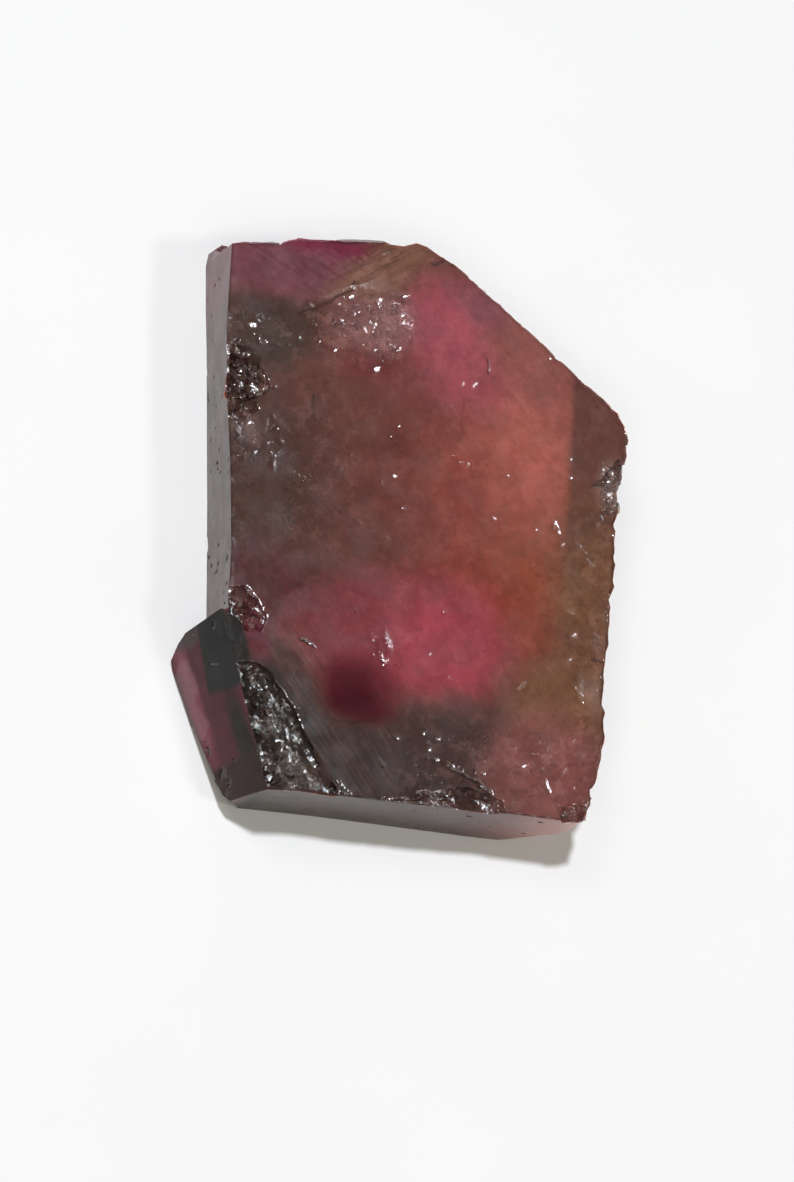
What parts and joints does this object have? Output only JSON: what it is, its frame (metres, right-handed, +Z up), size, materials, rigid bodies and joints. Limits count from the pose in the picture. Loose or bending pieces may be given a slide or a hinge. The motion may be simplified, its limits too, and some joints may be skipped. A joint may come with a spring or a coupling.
{
  "type": "rough tourmaline",
  "caption": "Sawn slab of rough zoned tourmaline with fluted prism sides, a broken back and a flat-faced wedge spur; a specimen to lie on a surface.",
  "frame": {"origin": "centre of the footprint box, on the resting plane", "axes": "+X from the left saw cut towards the right prism face, +Y from the front saw cut towards the broken back, +Z up out of the sawn top"},
  "size_m": [0.0192, 0.0264, 0.005],
  "materials": {
    "tourmaline": "translucent crystal zoned pink, red, brown and olive; sawn faces with fine saw marks, glassy where broken"
  },
  "bodies": {
    "root": {"tourmaline_slab": "tourmaline"}
  },
  "joints": []
}
